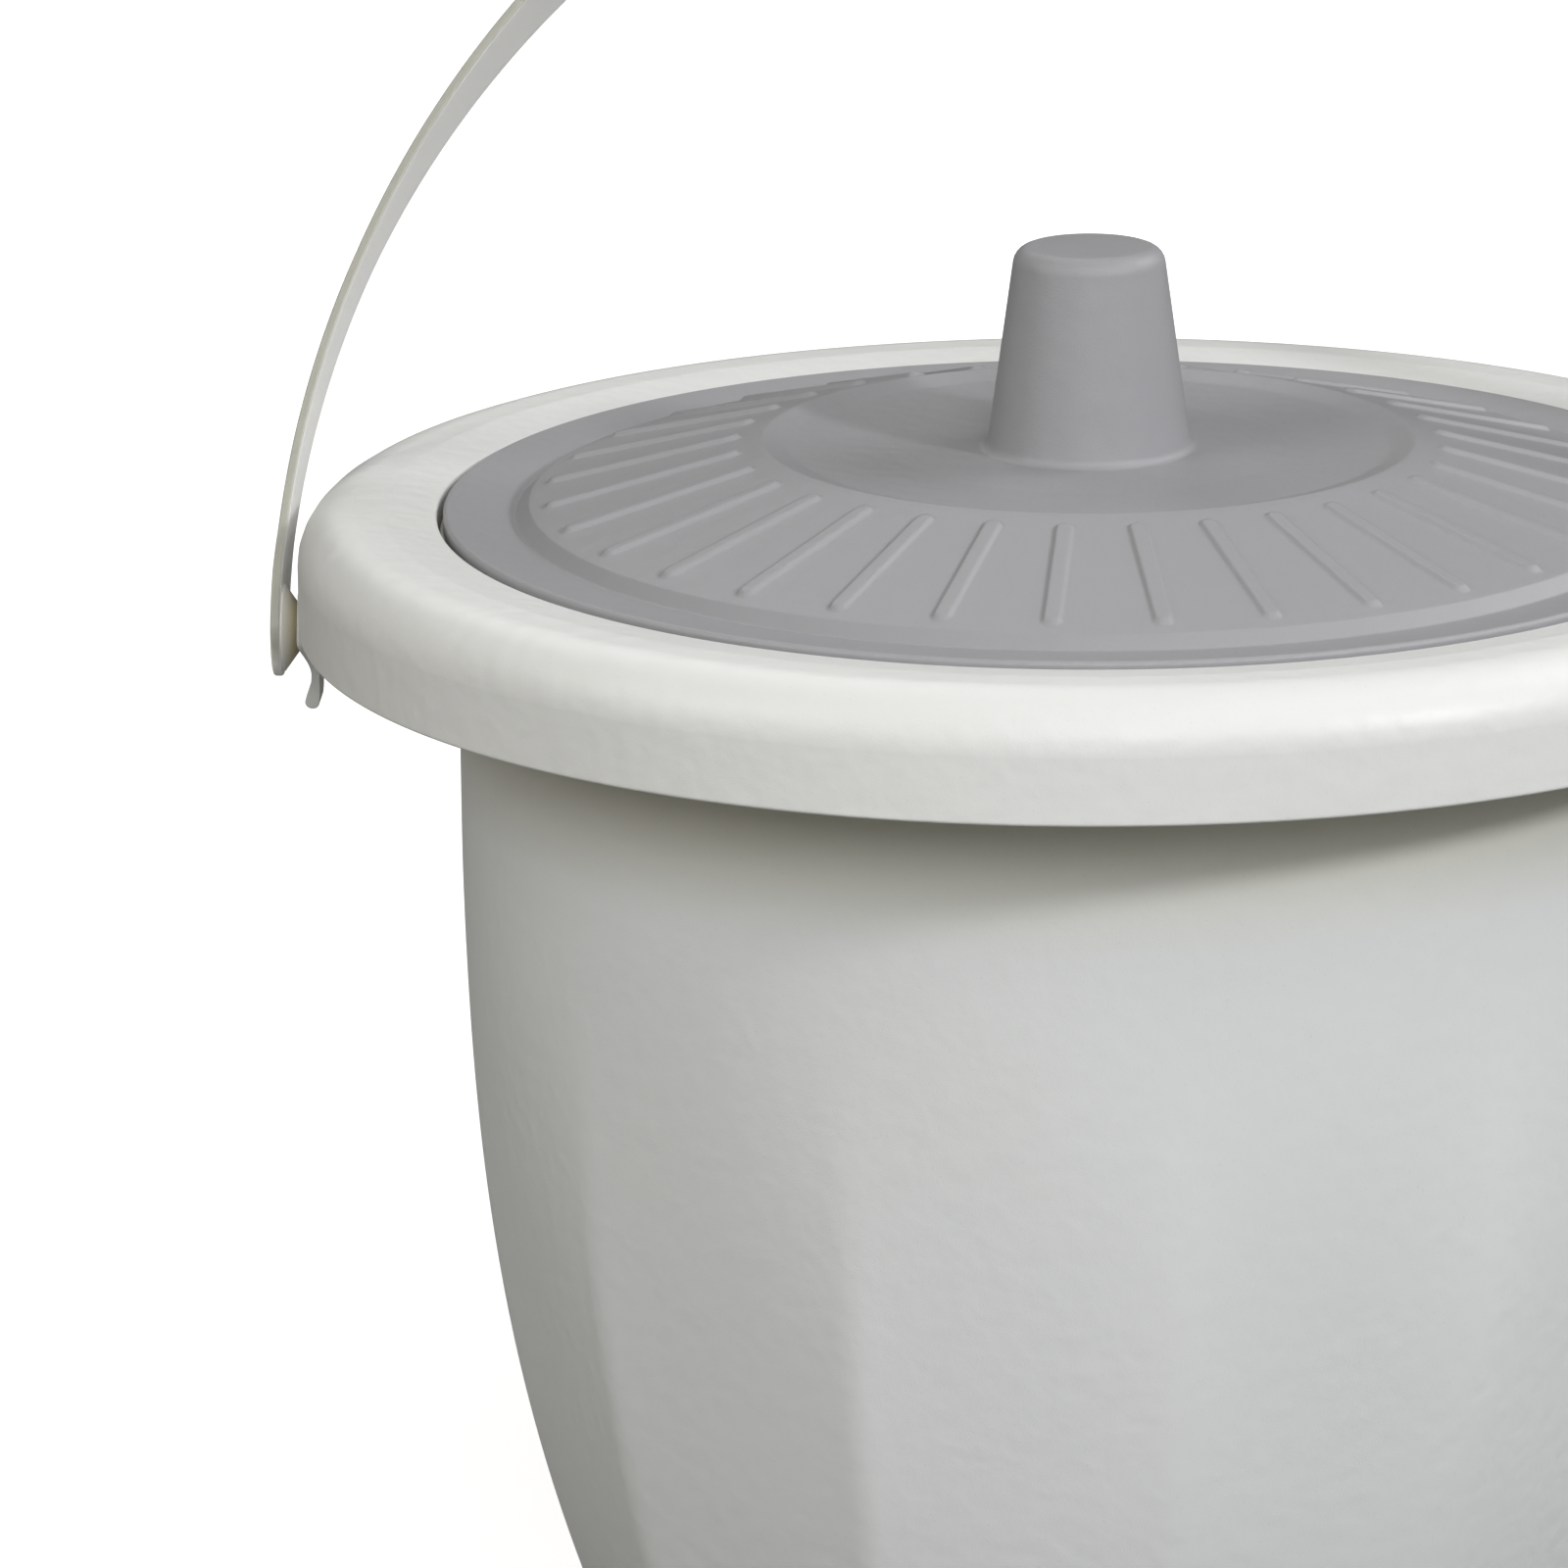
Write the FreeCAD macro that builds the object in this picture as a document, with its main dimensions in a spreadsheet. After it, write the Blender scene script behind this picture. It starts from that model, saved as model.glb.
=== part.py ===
import FreeCAD, Part
import math
import os
import Sketcher

# A moulded slop pail: a round pail whose lower wall turns into twelve flat panels, a wide white
# brim ring snapped over its rim, a ribbed lid that drops into the brim, and a strap handle that
# swings on a snap stud at each side. Millimetres, +Z up, origin at the centre of the foot.
# The front is -Y and the handle's studs are on the X axis.

os.makedirs("parts", exist_ok=True)
doc = FreeCAD.newDocument("slop_jar")
sheet = doc.addObject("Spreadsheet::Sheet", "sizes")
vector = FreeCAD.Vector


class Size:
    """A length or angle: its value now, and the formula that binds it to the sheet."""

    def __init__(self, value, formula=None):
        self.value = float(value)
        self.formula = formula or repr(float(value))

    def __add__(self, other):
        other = as_size(other)
        return Size(self.value + other.value, f"({self.formula} + {other.formula})")

    def __sub__(self, other):
        other = as_size(other)
        return Size(self.value - other.value, f"({self.formula} - {other.formula})")

    def __mul__(self, other):
        other = as_size(other)
        return Size(self.value * other.value, f"({self.formula} * {other.formula})")

    def __truediv__(self, other):
        other = as_size(other)
        return Size(self.value / other.value, f"({self.formula} / {other.formula})")

    def __neg__(self):
        return self * -1

    __radd__ = __add__
    __rmul__ = __mul__


def as_size(number):
    """Numbers that are fixed by geometry, such as a half, join a formula as they are."""
    return number if isinstance(number, Size) else Size(number)


def driving(name, value):
    """Write one driving size into the sheet under its own name."""
    driving.row += 1
    sheet.set(f"A{driving.row}", name)
    sheet.set(f"B{driving.row}", str(value))
    sheet.setAlias(f"B{driving.row}", name)
    return Size(value, f"sizes.{name}")


driving.row = 0

# Pail
rim_height = driving("rim_height", 269.7)
mouth_radius = driving("mouth_radius", 127.8)
foot_radius = driving("foot_radius", 84.4)
straight_mouth = driving("straight_mouth", 51.2)
belly_power = driving("belly_power", 2.6)
wall = driving("wall", 2.2)
panel_count = driving("panel_count", 12)
panel_turn = driving("panel_turn", 8.5)
panel_start = driving("panel_start", 64.7)
panel_full = driving("panel_full", 100)
panel_crown = driving("panel_crown", 0.5)
arris_round = driving("arris_round", 15)
floor_height = driving("floor_height", 6)
floor_thickness = driving("floor_thickness", 2.6)
rim_overhang = driving("rim_overhang", 3.4)
rim_thickness = driving("rim_thickness", 2.8)

# Brim ring
brim_width = driving("brim_width", 28.3)
brim_rise = driving("brim_rise", 4.9)
brim_depth = driving("brim_depth", 24.5)
brim_wall = driving("brim_wall", 2.4)
brim_round = driving("brim_round", 11)
lip_drop = driving("lip_drop", 1.5)
lip_gap = driving("lip_gap", 1.2)
snap_catch = driving("snap_catch", 1.3)
snap_clearance = driving("snap_clearance", 0.3)

# Pivot lugs and studs
lug_width = driving("lug_width", 22)
lug_thickness = driving("lug_thickness", 2.7)
lug_drop = driving("lug_drop", 19.6)
lug_waist = driving("lug_waist", 2.3)
lug_rise = driving("lug_rise", 7)
lug_proud = driving("lug_proud", 0.3)
lug_taper = driving("lug_taper", 0.4)
lug_round = driving("lug_round", 4)
tail_start = driving("tail_start", 7.5)
tail_flare = driving("tail_flare", 1.95)
tail_tip = driving("tail_tip", 1.2)
tail_round = driving("tail_round", 1)
pivot_below_skirt = driving("pivot_below_skirt", 2.8)
boss_radius = driving("boss_radius", 5.3)
stud_radius = driving("stud_radius", 2.45)
stud_head_radius = driving("stud_head_radius", 4.1)
stud_head_thickness = driving("stud_head_thickness", 1.0)
stud_barb = driving("stud_barb", 0.6)
stud_slot = driving("stud_slot", 1.0)
stud_slot_depth = driving("stud_slot_depth", 5)
running_gap = driving("running_gap", 0.4)
eye_clearance = driving("eye_clearance", 0.08)

# Strap handle
strap_standoff = driving("strap_standoff", 5.7)
strap_reach = driving("strap_reach", 64.2)
strap_side_ease = driving("strap_side_ease", 46.3)
strap_thickness = driving("strap_thickness", 2.0)
strap_end_radius = driving("strap_end_radius", 9.8)
strap_neck_width = driving("strap_neck_width", 14.5)
strap_grip_width = driving("strap_grip_width", 22)
shoulder_round = driving("shoulder_round", 6)
neck_round = driving("neck_round", 20)
flare_round = driving("flare_round", 60)
flare_low = driving("flare_low", 80)
flare_high = driving("flare_high", 145)
handle_lean = driving("handle_lean", 32)

# Lid
lid_gap = driving("lid_gap", 0.3)
lid_wall = driving("lid_wall", 2.0)
lid_inset = driving("lid_inset", 0.7)
lid_rim_height = driving("lid_rim_height", 4.3)
lid_rim_width = driving("lid_rim_width", 14.5)
groove_depth = driving("groove_depth", 1.9)
groove_width = driving("groove_width", 2.8)
panel_edge_rise = driving("panel_edge_rise", 2.8)
dish_radius = driving("dish_radius", 65.8)
dish_rim_rise = driving("dish_rim_rise", 12.2)
dish_slope = driving("dish_slope", 11.3)
dish_depth = driving("dish_depth", 2.0)
knob_base_radius = driving("knob_base_radius", 20.6)
knob_top_radius = driving("knob_top_radius", 14.9)
knob_height = driving("knob_height", 41.2)
knob_top_round = driving("knob_top_round", 3.6)
spigot_clearance = driving("spigot_clearance", 1.0)
spigot_depth = driving("spigot_depth", 8)
lid_turn = driving("lid_turn", 1.9)
rib_count = driving("rib_count", 32)
rib_inner_margin = driving("rib_inner_margin", 4.7)
rib_outer_margin = driving("rib_outer_margin", 2.7)
rib_width = driving("rib_width", 4.4)
rib_top_width = driving("rib_top_width", 2.4)
rib_height = driving("rib_height", 0.9)

doc.recompute()

# Heights and radii that follow from them, shared by the pieces that fit together
belly_top = rim_height - straight_mouth
panel_top = rim_height - panel_start
brim_top = rim_height + brim_rise
skirt_bottom = brim_top - brim_depth
pivot_height = skirt_bottom - pivot_below_skirt
mouth_inner = mouth_radius - wall
rim_radius = mouth_radius + rim_overhang
lid_seat = rim_height + lid_gap
lid_rim_top = lid_seat + lid_rim_height
lid_radius = rim_radius - lid_inset
lip_radius = lid_radius + lip_gap
groove_radius = lid_radius - lid_rim_width
panel_edge_radius = groove_radius - groove_width
dish_floor_radius = dish_radius - dish_slope
rib_inner_radius = dish_radius + rib_inner_margin
rib_outer_radius = panel_edge_radius - rib_outer_margin
brim_radius = lip_radius + brim_width
strap_half_span = brim_radius + strap_standoff
strap_height = mouth_radius + strap_reach
strap_side_radius = strap_half_span + strap_side_ease
strap_inner = strap_half_span - strap_thickness
lug_face = brim_radius + lug_proud
lug_back = lug_face - lug_thickness - lug_taper


def origin_part(body, role):
    """One of a body's own base planes or axes, by its role."""
    for feature in body.Origin.OriginFeatures:
        if feature.Role == role:
            return feature
    raise ValueError(role)


def new_body(name):
    body = doc.addObject("PartDesign::Body", name)
    body.Label = name
    return body


def new_sketch(body, name, role, lift=None):
    """An empty sketch on a base plane of the body, lifted off it where a lift is given."""
    sketch = body.newObject("Sketcher::SketchObject", name)
    sketch.AttachmentSupport = [(origin_part(body, role), "")]
    sketch.MapMode = "FlatFace"
    if lift is not None:
        sketch.setExpression("AttachmentOffset.Base.z", lift.formula)
    doc.recompute()
    return sketch


def bind(sketch, constraint, size):
    """Add a constraint and tie its value to the sheet."""
    number = sketch.addConstraint(constraint)
    sketch.setExpression(f"Constraints[{number}]", size.formula)


def place_point(sketch, geometry, end, across, up):
    """Hold one point of a sketch at two sizes from the sketch's origin."""
    if abs(across.value) < 1e-9:
        sketch.addConstraint(Sketcher.Constraint("PointOnObject", geometry, end, -2))
    else:
        bind(sketch, Sketcher.Constraint("DistanceX", -1, 1, geometry, end, across.value), across)
    if abs(up.value) < 1e-9:
        sketch.addConstraint(Sketcher.Constraint("PointOnObject", geometry, end, -1))
    else:
        bind(sketch, Sketcher.Constraint("DistanceY", -1, 1, geometry, end, up.value), up)


def outline(sketch, corners):
    """A closed outline through corners (across, up, rounding); a rounding of None stays sharp.

    A rounded corner is an arc that touches both of its straight sides. The corner itself stays
    in the sketch as a point on both sides, held by its own two sizes.
    """
    corners = [(as_size(a), as_size(u), None if r is None else as_size(r)) for a, u, r in corners]
    total = len(corners)
    points = [vector(a.value, u.value, 0) for a, u, _ in corners]
    entry, leave, arcs = [], [], []
    for i, (_, _, rounding) in enumerate(corners):
        here = points[i]
        back = (points[i - 1] - here).normalize()
        ahead = (points[(i + 1) % total] - here).normalize()
        if rounding is None:
            entry.append(here)
            leave.append(here)
            arcs.append(None)
            continue
        half = back.getAngle(ahead) / 2
        reach = rounding.value / math.tan(half)
        start = here + back * reach
        end = here + ahead * reach
        bisector = (back + ahead).normalize()
        centre = here + bisector * (rounding.value / math.sin(half))
        middle = centre - bisector * rounding.value
        entry.append(start)
        leave.append(end)
        arcs.append(Part.Arc(start, middle, end))
    sides = []
    for i in range(total):
        side = Part.LineSegment(leave[i], entry[(i + 1) % total])
        sides.append(sketch.addGeometry(side, False))
    for i, (across, up, rounding) in enumerate(corners):
        before = sides[i - 1]
        after = sides[i]
        if arcs[i] is None:
            sketch.addConstraint(Sketcher.Constraint("Coincident", before, 2, after, 1))
            place_point(sketch, after, 1, across, up)
            continue
        arc = sketch.addGeometry(arcs[i], False)
        first = 1 if sketch.getPoint(arc, 1).distanceToPoint(entry[i]) < 1e-6 else 2
        sketch.addConstraint(Sketcher.Constraint("Tangent", before, 2, arc, first))
        sketch.addConstraint(Sketcher.Constraint("Tangent", after, 1, arc, 3 - first))
        bind(sketch, Sketcher.Constraint("Radius", arc, rounding.value), rounding)
        corner = sketch.addGeometry(Part.Point(points[i]), True)
        sketch.addConstraint(Sketcher.Constraint("PointOnObject", corner, 1, before))
        sketch.addConstraint(Sketcher.Constraint("PointOnObject", corner, 1, after))
        place_point(sketch, corner, 1, across, up)
    doc.recompute()


def disc(sketch, across, up, radius):
    """A full circle in a sketch."""
    across, up = as_size(across), as_size(up)
    circle = Part.Circle(vector(across.value, up.value, 0), vector(0, 0, 1), radius.value)
    number = sketch.addGeometry(circle, False)
    place_point(sketch, number, 3, across, up)
    bind(sketch, Sketcher.Constraint("Radius", number, radius.value), radius)
    doc.recompute()


def revolve(body, name, corners):
    """A full turn of an outline, drawn as radius and height, about the body's Z axis."""
    sketch = new_sketch(body, f"{name}_outline", "XZ_Plane")
    outline(sketch, corners)
    turn = body.newObject("PartDesign::Revolution", name)
    turn.Profile = sketch
    turn.ReferenceAxis = (sketch, ["V_Axis"])
    turn.Angle = 360
    doc.recompute()
    return turn


def pad(body, sketch, name, length, both_ways=False, reverse=False):
    feature = body.newObject("PartDesign::Pad", name)
    feature.Profile = sketch
    feature.setExpression("Length", length.formula)
    feature.Midplane = both_ways
    feature.Reversed = reverse
    doc.recompute()
    return feature


def pocket(body, sketch, name, depth, both_ways=False, reverse=False):
    """Cut a sketch into the body, and make sure that it did cut."""
    before = body.Shape.Volume
    feature = body.newObject("PartDesign::Pocket", name)
    feature.Profile = sketch
    feature.setExpression("Length", depth.formula)
    feature.Midplane = both_ways
    feature.Reversed = reverse
    doc.recompute()
    if body.Shape.Volume > before - 0.01:
        raise ValueError(f"{name} cuts nothing")
    return feature


def polar(body, originals, name, count):
    """Repeat features evenly about the body's Z axis."""
    feature = body.newObject("PartDesign::PolarPattern", name)
    feature.Originals = originals
    feature.Axis = (origin_part(body, "Z_Axis"), [""])
    feature.Angle = 360
    feature.setExpression("Occurrences", count.formula)
    body.Tip = feature
    doc.recompute()
    return feature


# Pail wall: panels that melt into a round mouth
def arris_radius(height):
    """Outer radius at the edges between panels: a belly that draws in faster towards the foot."""
    below = max(belly_top.value - height, 0) / belly_top.value
    return mouth_radius.value - (mouth_radius.value - foot_radius.value) * below ** belly_power.value


def panel_share(height):
    """How much of the panels shows: none above panel_top, all of them below panel_full."""
    share = (panel_top.value - height) / (panel_top.value - panel_full.value)
    share = min(max(share, 0), 1)
    return share * share * (3 - 2 * share)


def panel_half_angle(height):
    """Half the angle, seen from the axis, that the flat of a panel takes up at a height."""
    half = math.pi / panel_count.value
    flat = arris_radius(height) * math.cos(half) + arris_round.value * (1 - math.cos(half))
    return math.atan2(flat * math.tan(half) - arris_round.value * math.tan(half), flat)


def wall_radius(height, turn):
    """Outer radius of the wall at an angle from an arris: round at the mouth, panels at the foot."""
    radius = arris_radius(height)
    half = math.pi / panel_count.value
    from_arris = abs((turn + half) % (2 * half) - half)
    from_centre = half - from_arris
    edge = panel_half_angle(height)
    rounding = arris_round.value
    axis_to_round = radius - rounding
    flat = axis_to_round * math.cos(half) + rounding
    if from_centre <= edge:
        shaped = flat / math.cos(from_centre) + panel_crown.value * (1 - (from_centre / edge) ** 2)
    else:
        across = axis_to_round * math.sin(from_arris)
        shaped = axis_to_round * math.cos(from_arris) + math.sqrt(rounding ** 2 - across ** 2)
    return radius + panel_share(height) * (shaped - radius)


def wall_ring(height, inset, panel_strips, arris_strips):
    """One level section of the wall, as shallow curves across its panels and its arrises."""
    half = math.pi / panel_count.value
    edge = panel_half_angle(height)
    turns = []
    for number in range(int(panel_count.value)):
        arris = 2 * half * number
        turns += [arris - (half - edge) * (1 - 2 * i / arris_strips) for i in range(arris_strips)]
        turns += [arris + half - edge * (1 - 2 * i / panel_strips) for i in range(panel_strips)]
    turns.append(turns[0] + 2 * math.pi)

    def point(turn):
        radius = wall_radius(height, turn) - inset
        angle = math.radians(panel_turn.value - 90) + turn
        return vector(radius * math.cos(angle), radius * math.sin(angle), height)

    edges = []
    for turn, following in zip(turns, turns[1:]):
        edges.append(bow(point(turn), point((turn + following) / 2), point(following)))
    return Part.Wire(edges)


def bow(start, middle, end):
    """A shallow curve from start to end whose crown is at the middle point."""
    curve = Part.BezierCurve()
    curve.setPoles([start, middle * 2 - (start + end) / 2, end])
    return curve.toShape()


def wall_loft(name, heights, inset, panel_strips, arris_strips, straight):
    """A solid through level sections of the wall, straight or smooth from one to the next."""
    rings = [wall_ring(height, inset, panel_strips, arris_strips) for height in heights]
    feature = doc.addObject("Part::Feature", name)
    feature.Shape = Part.makeLoft(rings, True, straight)
    return feature


def make_pail():
    """The pail: a thin wall, a floor set up off the foot, and the rim that carries the brim."""
    top = rim_height.value
    full, fade = panel_full.value, panel_top.value
    outer_heights = [0, full / 2, full, (full + fade) / 2, fade, (fade + top) / 2, top]
    outside = wall_loft("pail_outside", outer_heights, 0, 4, 3, False)
    inner_heights = [-1, full * 0.35, full * 0.7, full, (full + fade) / 2, fade, top + 1]
    inside = wall_loft("pail_inside", inner_heights, wall.value, 3, 1, True)
    slab = doc.addObject("Part::Cylinder", "pail_floor")
    slab.setExpression("Radius", mouth_radius.formula)
    slab.setExpression("Height", floor_thickness.formula)
    slab.setExpression("Placement.Base.z", floor_height.formula)
    hollow = doc.addObject("Part::Cut", "pail_hollow")
    hollow.Base = inside
    hollow.Tool = slab
    root = mouth_radius - wall / 2
    flange = new_body("pail_flange")
    revolve(flange, "flange", [
        (root, rim_height - rim_thickness, None),
        (rim_radius, rim_height - rim_thickness, None),
        (rim_radius, rim_height, None),
        (root, rim_height, None),
    ])
    shell = doc.addObject("Part::MultiFuse", "pail_shell")
    shell.Shapes = [outside, flange]
    pail = doc.addObject("Part::Cut", "pail_body")
    pail.Base = shell
    pail.Tool = hollow
    pail.Label = "pail_body"
    return pail


def make_brim():
    """The brim ring: crowned top, turned-down skirt, snap wall inside and a lug at each side."""
    brim = new_body("brim_ring")
    inner = lip_radius
    inner_outside = lip_radius + brim_wall
    top_inside = brim_top - brim_wall
    catch_radius = rim_radius + snap_clearance
    snap_top = rim_height - rim_thickness - snap_clearance
    foot = snap_top - snap_catch * 2
    revolve(brim, "brim_section", [
        (brim_radius, skirt_bottom, None),
        (brim_radius, brim_top, brim_round),
        (inner + brim_round, brim_top, brim_round),
        (inner, brim_top - lip_drop, None),
        (inner, snap_top, None),
        (catch_radius - snap_catch, snap_top, None),
        (catch_radius, foot, None),
        (inner_outside, foot, None),
        (inner_outside, top_inside, None),
        (brim_radius - brim_wall * 2, top_inside, None),
        (brim_radius - brim_wall, top_inside - brim_wall, None),
        (brim_radius - brim_wall, skirt_bottom, None),
    ])
    lug_sketch = new_sketch(brim, "lug_outline", "XZ_Plane")
    face, back = lug_face, lug_back
    low = skirt_bottom - lug_drop
    high = skirt_bottom + lug_rise
    waist = pivot_height - boss_radius
    outline(lug_sketch, [
        (brim_radius - lug_proud, high, None),
        (face, waist, lug_round),
        (face - lug_waist, low + tail_start, lug_round),
        (face - lug_waist + tail_flare, low + tail_tip, tail_round),
        (face - lug_waist, low, tail_round),
        (back - lug_waist + tail_flare / 3, low + tail_tip * 2, tail_round),
        (back - lug_waist, low + tail_start, lug_round),
        (back, waist, lug_round),
        (back, high, None),
    ])
    lug = pad(brim, lug_sketch, "lug", lug_width, both_ways=True)
    boss_sketch = new_sketch(brim, "boss_outline", "YZ_Plane", face - lug_thickness / 2)
    disc(boss_sketch, 0, pivot_height, boss_radius)
    boss_reach = strap_inner - running_gap - (face - lug_thickness / 2)
    boss = pad(brim, boss_sketch, "boss", boss_reach)
    hole_sketch = new_sketch(brim, "stud_hole_outline", "YZ_Plane", strap_half_span)
    disc(hole_sketch, 0, pivot_height, stud_radius + eye_clearance / 2)
    hole = pocket(brim, hole_sketch, "stud_hole", strap_half_span - brim_radius + lug_drop)
    polar(brim, [lug, boss, hole], "both_sides", as_size(2))
    return brim


def make_lid():
    """The lid: one thin moulding from rim groove to hollow knob, with raised ribs on its cone."""
    lid = new_body("lid")
    groove_height = lid_rim_top - groove_depth
    edge_height = groove_height + panel_edge_rise
    dish_rim = groove_height + dish_rim_rise + panel_edge_rise
    dish_floor = dish_rim - dish_depth
    knob_top = dish_floor + knob_height
    spigot_outer = mouth_inner - spigot_clearance
    spigot_inner = spigot_outer - lid_wall
    spigot_low = rim_height - spigot_depth
    under = lid_wall
    revolve(lid, "lid_section", [
        (0, knob_top, None),
        (knob_top_radius, knob_top, knob_top_round),
        (knob_base_radius, dish_floor, None),
        (dish_floor_radius, dish_floor, None),
        (dish_radius, dish_rim, None),
        (panel_edge_radius, edge_height, None),
        (groove_radius, groove_height, None),
        (lid_radius, lid_rim_top, None),
        (lid_radius, lid_seat, None),
        (spigot_outer, lid_seat, None),
        (spigot_outer, spigot_low, None),
        (spigot_inner, spigot_low, None),
        (groove_radius + under, groove_height - under, None),
        (dish_radius, dish_rim - under, None),
        (dish_floor_radius, dish_floor - under, None),
        (knob_base_radius - under, dish_floor - under, None),
        (knob_top_radius - under, knob_top - under, None),
        (0, knob_top - under, None),
    ])
    slope_run = panel_edge_radius - dish_radius
    slope_rise = dish_rim - edge_height
    rib_start_height = edge_height + slope_rise * (panel_edge_radius - rib_inner_radius) / slope_run
    rib_sketch = new_sketch(lid, "rib_outline", "YZ_Plane", rib_inner_radius)
    sunk = lid_wall / 4
    outline(rib_sketch, [
        (-rib_width / 2, rib_start_height - sunk, None),
        (rib_width / 2, rib_start_height - sunk, None),
        (rib_top_width / 2, rib_start_height + rib_height, None),
        (-rib_top_width / 2, rib_start_height + rib_height, None),
    ])
    slope = math.hypot(slope_run.value, slope_rise.value)
    rib = lid.newObject("PartDesign::Pad", "rib")
    rib.Profile = rib_sketch
    rib.UseCustomVector = True
    rib.Direction = vector(slope_run.value, 0, -slope_rise.value)
    rib.AlongSketchNormal = True
    rib.setExpression("Length", (rib_outer_radius - rib_inner_radius).formula)
    doc.recompute()
    polar(lid, [rib], "ribs", rib_count)
    turn = Size(-90) + lid_turn + as_size(180) / rib_count
    lid.Placement = FreeCAD.Placement(vector(0, 0, 0), vector(0, 0, 1), turn.value)
    lid.setExpression("Placement.Rotation.Angle", turn.formula)
    return lid


def make_handle():
    """The strap handle, drawn upright about its pivot and then leant back."""
    handle = new_body("strap_handle")
    strap_path(handle)
    section = new_sketch(handle, "strap_section", "XY_Plane", -strap_end_radius)
    outline(section, [
        (strap_inner, -strap_grip_width / 2, None),
        (strap_half_span, -strap_grip_width / 2, None),
        (strap_half_span, strap_grip_width / 2, None),
        (strap_inner, strap_grip_width / 2, None),
    ])
    band = handle.newObject("PartDesign::AdditivePipe", "band")
    band.Profile = section
    band.Spine = (doc.getObject("strap_line"), [])
    doc.recompute()
    around = new_sketch(handle, "strap_width", "YZ_Plane")
    margin = strap_grip_width
    end = strap_end_radius
    end_round = end * 0.995
    neck = strap_neck_width / 2
    grip = strap_grip_width / 2
    top = strap_height + margin
    outline(around, [
        (-margin, -margin, None), (margin, -margin, None),
        (margin, top + margin, None), (-margin, top + margin, None),
    ])
    outline(around, [
        (-end, -end, end_round), (end, -end, end_round), (end, end, shoulder_round),
        (neck, end * 2, neck_round), (neck, flare_low, flare_round),
        (grip, flare_high, flare_round), (grip, top, None),
        (-grip, top, None), (-grip, flare_high, flare_round),
        (-neck, flare_low, flare_round), (-neck, end * 2, neck_round),
        (-end, end, shoulder_round),
    ])
    pocket(handle, around, "strap_sides", strap_half_span * 3, both_ways=True)
    eye = new_sketch(handle, "eye_outline", "YZ_Plane")
    disc(eye, 0, 0, stud_radius + eye_clearance)
    pocket(handle, eye, "eyes", strap_half_span * 3, both_ways=True)
    seat = new_sketch(handle, "head_seat_outline", "YZ_Plane", strap_half_span)
    disc(seat, 0, 0, stud_head_radius + eye_clearance * 2)
    sink = pocket(handle, seat, "head_seat", stud_head_thickness + eye_clearance)
    both = handle.newObject("PartDesign::Mirrored", "head_seats")
    both.Originals = [sink]
    both.MirrorPlane = (origin_part(handle, "YZ_Plane"), [""])
    handle.Tip = both
    handle.Placement = FreeCAD.Placement(vector(0, 0, 0), vector(1, 0, 0), -handle_lean.value)
    handle.setExpression("Placement.Rotation.Angle", (-handle_lean).formula)
    handle.setExpression("Placement.Base.z", pivot_height.formula)
    doc.recompute()
    return handle


def strap_path(handle):
    """The strap's outer line: two upright legs, a wide arc on each side and a crown arc."""
    sketch = new_sketch(handle, "strap_line", "XZ_Plane")
    span, rise, side = strap_half_span, strap_height, strap_side_radius
    crown = (side * span * 2 - span * span - rise * rise) / ((side - rise) * 2)
    crown_centre = vector(0, rise.value - crown.value, 0)
    pieces = []
    for hand in (1, -1):
        side_centre = vector(hand * (span.value - side.value), 0, 0)
        towards = (crown_centre - side_centre).normalize()
        foot = vector(hand * span.value, 0, 0)
        halfway = (towards + vector(hand, 0, 0)).normalize()
        meet = side_centre + towards * side.value
        low = foot - vector(0, strap_end_radius.value, 0)
        leg = sketch.addGeometry(Part.LineSegment(low, foot), False)
        bow = sketch.addGeometry(Part.Arc(foot, side_centre + halfway * side.value, meet), False)
        pieces.append((hand, leg, bow, foot, meet))
    top = vector(0, rise.value, 0)
    crown_arc = sketch.addGeometry(Part.Arc(pieces[0][4], top, pieces[1][4]), False)
    for hand, leg, bow, foot, meet in pieces:
        sketch.addConstraint(Sketcher.Constraint("Vertical", leg))
        sketch.addConstraint(Sketcher.Constraint("Tangent", leg, 2, bow, end_at(sketch, bow, foot)))
        sketch.addConstraint(Sketcher.Constraint(
            "Tangent", bow, end_at(sketch, bow, meet), crown_arc, end_at(sketch, crown_arc, meet)))
        bind(sketch, Sketcher.Constraint("Radius", bow, side.value), side)
        place_point(sketch, leg, 2, span * hand, as_size(0))
        low = -strap_end_radius
        bind(sketch, Sketcher.Constraint("DistanceY", -1, 1, leg, 1, low.value), low)
    bind(sketch, Sketcher.Constraint("Radius", crown_arc, crown.value), crown)
    doc.recompute()


def end_at(sketch, geometry, place):
    """Which end of a piece of a sketch lies at a place."""
    return 1 if sketch.getPoint(geometry, 1).distanceToPoint(place) < 1e-6 else 2


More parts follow.
